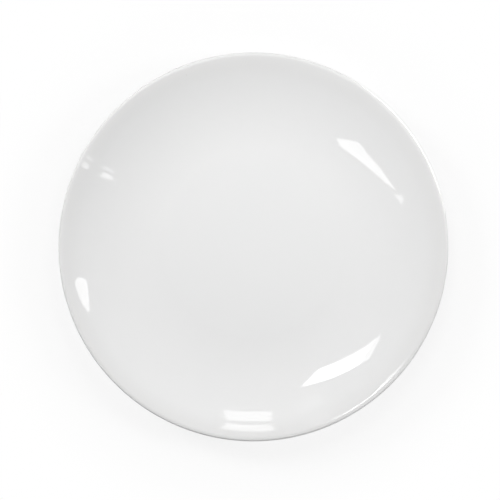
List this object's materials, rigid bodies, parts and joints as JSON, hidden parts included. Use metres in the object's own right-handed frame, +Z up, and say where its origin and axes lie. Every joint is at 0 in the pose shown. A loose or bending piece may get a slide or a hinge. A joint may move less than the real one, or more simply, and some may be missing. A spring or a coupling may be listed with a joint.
{
  "type": "china plate",
  "caption": "Round rimless white china plate with a level well, an upswept wall, a softly rounded lip and a foot ring that stands on a bare band.",
  "frame": {"origin": "middle of the circle on which the foot ring stands, on the table", "axes": "+Z up along the plate's axis, out of the face; +X and +Y are any two square directions, as the plate is round"},
  "size_m": [0.26, 0.26, 0.026],
  "materials": {
    "bare_porcelain": "matte",
    "glaze": "gloss"
  },
  "bodies": {
    "root": {"porcelain_body": "bare_porcelain", "outer_glaze": "glaze", "base_glaze": "glaze"}
  },
  "joints": []
}
